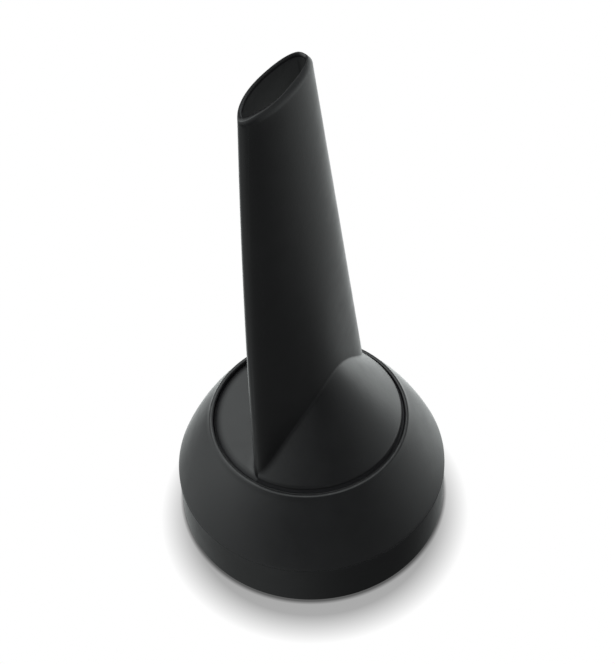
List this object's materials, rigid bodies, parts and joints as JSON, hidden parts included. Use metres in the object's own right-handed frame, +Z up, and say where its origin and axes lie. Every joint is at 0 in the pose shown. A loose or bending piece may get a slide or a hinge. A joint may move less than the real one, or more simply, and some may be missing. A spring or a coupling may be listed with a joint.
{
  "type": "otoscope",
  "caption": "Self-contained otoscope head: flattened tapering speculum on a turning socket, conical housing, twist-ring light switch, lens and LED ring, standing on a rubber foot.",
  "frame": {"origin": "on the viewing axis, in the plane the rubber foot stands on", "axes": "+Z up the viewing axis towards the speculum's mouth; X along the speculum's blade, with its upright edge at -X and its leaning edge at +X; the half cone faces -Y"},
  "size_m": [0.036, 0.036, 0.0754],
  "materials": {
    "speculum_plastic": "satin moulded",
    "housing_plastic": "satin moulded",
    "switch_ring_plastic": "satin moulded",
    "base_plate_plastic": "fine matt texture",
    "turret_plastic": "smooth",
    "turret_retainer_plastic": "smooth",
    "tray_plastic": "smooth",
    "foot_rubber": "matt",
    "speculum_seal": "smooth",
    "lens_seal": "smooth",
    "screw_steel": "machined",
    "pin_steel": "ground",
    "cell_steel": "nickel plated",
    "contact_metal": "plated strip",
    "wiper_metal": "spring strip",
    "barrel_metal": "black anodised",
    "retainer_metal": "black anodised",
    "lens_glass": "polished",
    "window_glass": "polished",
    "guide_acrylic": "clear moulded",
    "board_laminate": "solder resist",
    "led_body": "phosphor filled",
    "resistor_body": "ceramic",
    "wire_black": "sleeved wire",
    "wire_red": "sleeved wire"
  },
  "bodies": {
    "base": {"housing": "housing_plastic", "base_plate": "base_plate_plastic", "rubber_foot": "foot_rubber", "base_screw_1": "screw_steel", "base_screw_2": "screw_steel", "base_screw_3": "screw_steel", "stop_pin": "pin_steel", "switch_contact": "contact_metal", "eyepiece_window": "window_glass", "lens_barrel": "barrel_metal", "magnifier_lens": "lens_glass", "lens_retainer": "retainer_metal", "lens_o_ring": "lens_seal", "led_board": "board_laminate", "led_1": "led_body", "led_2": "led_body", "led_3": "led_body", "led_4": "led_body", "resistor": "resistor_body", "light_guide": "guide_acrylic", "battery_tray": "tray_plastic", "button_cell_1": "cell_steel", "button_cell_2": "cell_steel", "button_cell_3": "cell_steel", "contact_lower_bridge": "contact_metal", "contact_lower_end": "contact_metal", "contact_upper_bridge": "contact_metal", "contact_upper_end": "contact_metal", "lead_battery": "wire_black", "lead_switch": "wire_red", "turret_retainer": "turret_retainer_plastic"},
    "switch": {"switch_ring": "switch_ring_plastic", "switch_wiper": "wiper_metal"},
    "turret": {"turret_ring": "turret_plastic"},
    "speculum": {"speculum": "speculum_plastic", "speculum_o_ring": "speculum_seal"}
  },
  "joints": [
    {"name": "switch_turn", "type": "hinge", "parent": "base", "child": "switch", "pos_m": [0, 0, 0.0037], "axis": [0, 0, 1], "range_deg": [0, 40]},
    {"name": "turret_turn", "type": "hinge", "parent": "base", "child": "turret", "pos_m": [0, 0, 0.0116], "axis": [0, 0, 1], "continuous": true},
    {"name": "speculum_pull", "type": "slide", "parent": "turret", "child": "speculum", "axis": [0, 0, 1], "range_m": [0, 0.015]}
  ]
}
